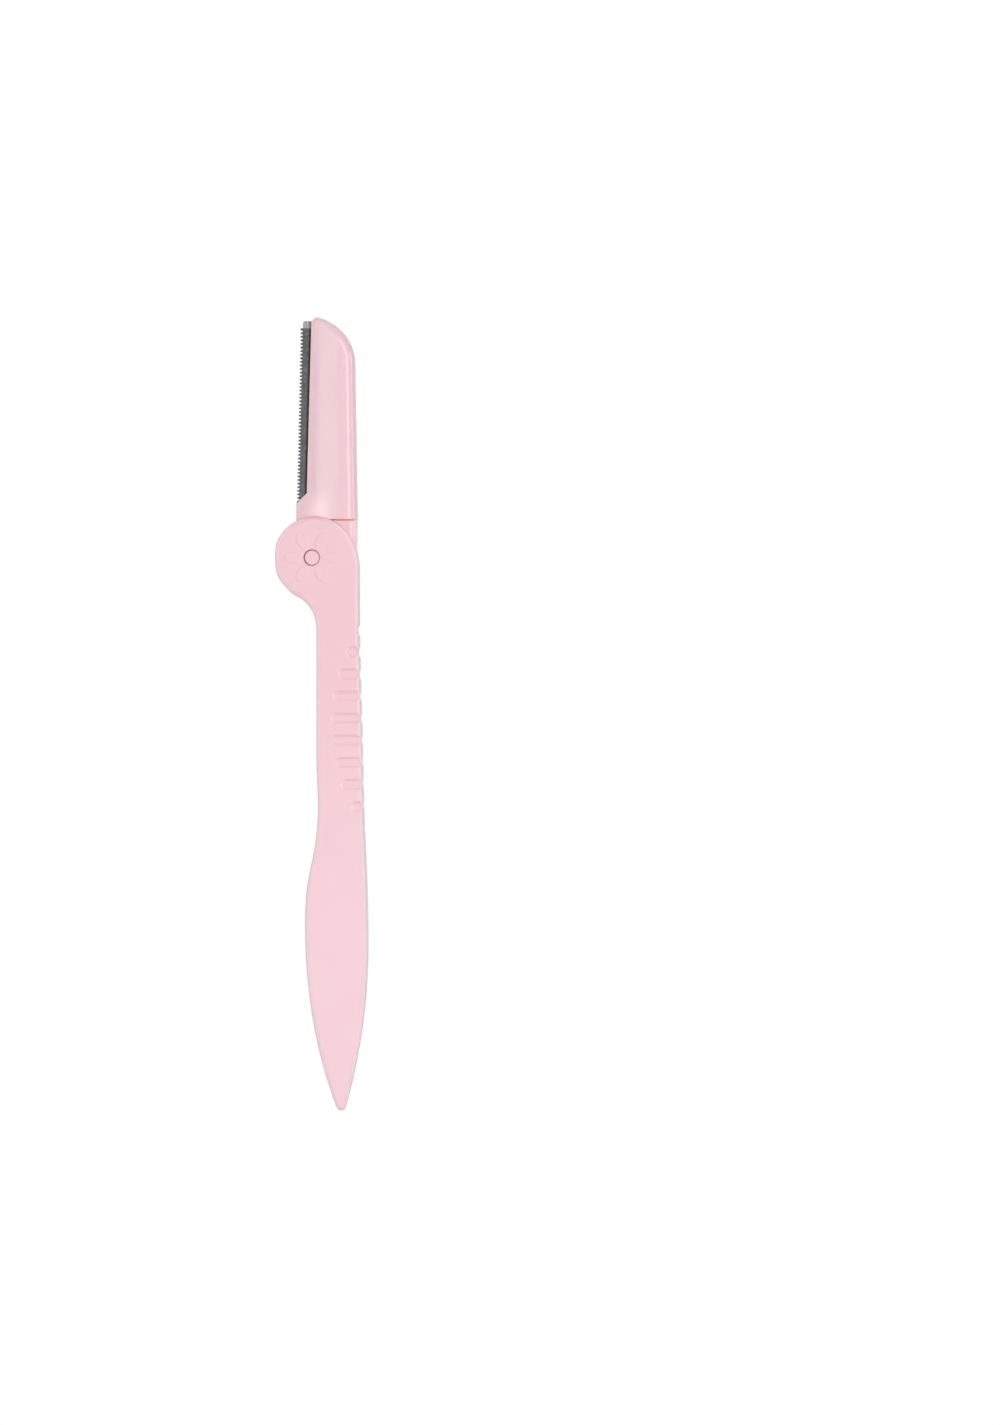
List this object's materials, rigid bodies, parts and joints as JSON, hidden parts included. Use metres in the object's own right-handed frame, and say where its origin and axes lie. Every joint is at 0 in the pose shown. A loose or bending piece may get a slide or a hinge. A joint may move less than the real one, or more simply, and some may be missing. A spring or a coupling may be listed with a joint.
{
  "type": "eyebrow razor",
  "caption": "Folding eyebrow razor: a leaf-shaped plastic handle with finger grooves, and a hinged head whose comb-guarded steel blade folds into a slot in the handle.",
  "frame": {"origin": "on the hinge axis, in the plane of the handle's back face", "axes": "+Y along the opened razor towards the blade tip, +Z out of the front face, +X towards the spine"},
  "size_m": [0.0176, 0.1515, 0.006],
  "materials": {
    "pink_plastic": "satin",
    "pink_plastic_gloss": "gloss",
    "blade_steel": "ground",
    "guard_steel": "blackened"
  },
  "bodies": {
    "handle_body": {"handle": "pink_plastic"},
    "head_body": {"blade_head": "pink_plastic_gloss", "pivot_pin": "pink_plastic", "blade": "blade_steel", "blade_guard": "guard_steel"}
  },
  "joints": [
    {"name": "fold_hinge", "type": "hinge", "parent": "handle_body", "child": "head_body", "pos_m": [0, 0, 0.003], "axis": [0, 0, 1], "range_deg": [0, 180]}
  ]
}
